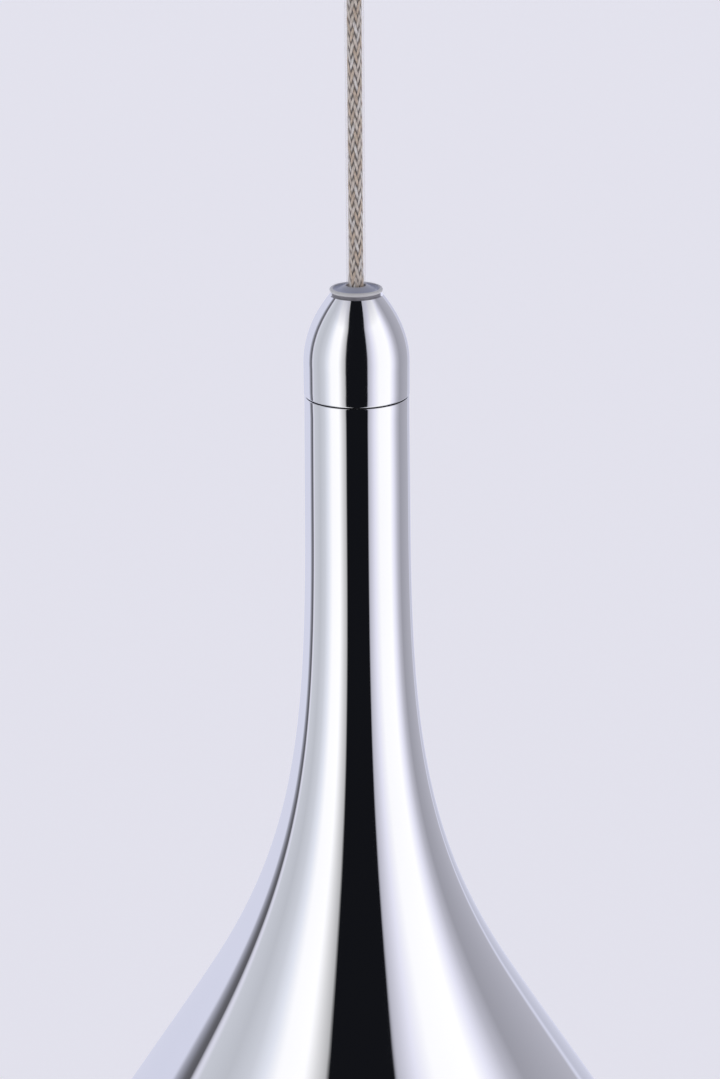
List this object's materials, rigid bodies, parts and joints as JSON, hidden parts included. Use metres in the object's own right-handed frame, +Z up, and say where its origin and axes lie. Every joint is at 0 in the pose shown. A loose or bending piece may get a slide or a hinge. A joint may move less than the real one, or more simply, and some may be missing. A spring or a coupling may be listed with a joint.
{
  "type": "pendant lamp",
  "caption": "Pendant lamp: chrome bell shade on a slim neck with an ogive cap, hung by a braided cable from a round ceiling canopy.",
  "frame": {"origin": "centre of the ceiling bracket's two fixing holes, in the ceiling plane", "axes": "+Z up into the ceiling, the lamp hangs along -Z; +X along the ceiling bracket; -Y towards the viewer"},
  "size_m": [0.248, 0.2478, 0.595],
  "materials": {
    "canopy_chrome": "polished",
    "shade_chrome": "polished outside, satin inside",
    "cap_chrome": "polished",
    "zinc_steel": "zinc plated",
    "brass": "bright",
    "ivory_plastic": "satin",
    "black_plastic": "moulded, satin",
    "bush_rubber": "matt",
    "silicone": "translucent",
    "clear_jacket": "clear, soft",
    "braid": "woven",
    "brown_insulation": "satin",
    "blue_insulation": "satin",
    "green_insulation": "satin",
    "ceramic": "glazed white",
    "clear_glass": "clear",
    "bulb_metal": "bright",
    "bulb_insulator": "black, fused",
    "filament": "phosphor coat"
  },
  "bodies": {
    "ceiling_mount": {"ceiling_bracket": "zinc_steel", "canopy": "canopy_chrome", "canopy_screws": "canopy_chrome", "earth_screw": "brass", "earth_lug": "zinc_steel", "terminal_block": "ivory_plastic", "terminal_block_screw": "zinc_steel", "terminal_screws": "brass", "supply_cable_end": "braid", "supply_live_wire": "brown_insulation", "supply_neutral_wire": "blue_insulation", "supply_earth_wire": "green_insulation", "cord_grip_body": "canopy_chrome", "cord_grip_washer": "zinc_steel", "cord_grip_nut": "zinc_steel", "cord_grip_screw": "zinc_steel"},
    "grip_bush": {"cord_grip_insert": "bush_rubber"},
    "cable": {"cable_jacket": "clear_jacket", "cable_braid": "braid"},
    "lamp": {"shade": "shade_chrome", "cord_clamp_body": "zinc_steel", "cord_clamp_screw": "zinc_steel", "threaded_tube": "zinc_steel", "tube_washers": "zinc_steel", "tube_nuts": "brass", "lamp_live_wire": "brown_insulation", "lamp_neutral_wire": "blue_insulation", "lamp_earth_wire": "green_insulation", "holder_cap": "black_plastic", "holder_bush": "zinc_steel", "holder_core": "ceramic", "holder_terminals": "brass", "holder_shell": "brass", "holder_contact": "brass", "holder_skirt": "black_plastic"},
    "cap": {"cap": "cap_chrome", "grommet": "silicone"},
    "bulb_envelope": {"bulb_glass": "clear_glass"},
    "bulb_inside": {"bulb_base": "bulb_metal", "bulb_insulator": "bulb_insulator", "bulb_contact": "bulb_metal", "bulb_stem": "clear_glass", "bulb_filaments": "filament"}
  },
  "joints": [
    {"name": "swing_side", "type": "hinge", "parent": "ceiling_mount", "child": "grip_bush", "pos_m": [0, 0, -0.038], "axis": [0, 1, 0], "range_deg": [-20, 20]},
    {"name": "swing_front", "type": "hinge", "parent": "grip_bush", "child": "cable", "pos_m": [0, 0, -0.038], "axis": [1, 0, 0], "range_deg": [-20, 20]},
    {"name": "cable_twist", "type": "hinge", "parent": "cable", "child": "lamp", "pos_m": [0, 0, -0.17], "axis": [0, 0, 1], "range_deg": [-90, 90], "stiffness_Nm_per_rad": 0.01},
    {"name": "cap_lift", "type": "slide", "parent": "lamp", "child": "cap", "axis": [0, 0, 1], "range_m": [0, 0.075]},
    {"name": "bulb_drop", "type": "slide", "parent": "lamp", "child": "bulb_envelope", "axis": [0, 0, -1], "range_m": [0, 0.0236]},
    {"name": "bulb_turn", "type": "hinge", "parent": "bulb_envelope", "child": "bulb_inside", "pos_m": [0, 0, -0.37], "axis": [0, 0, -1], "range_deg": [0, 2340]}
  ],
  "couplings": [
    {"joint": "bulb_turn", "follows": "bulb_drop", "rad_per_m": 1730.5}
  ]
}
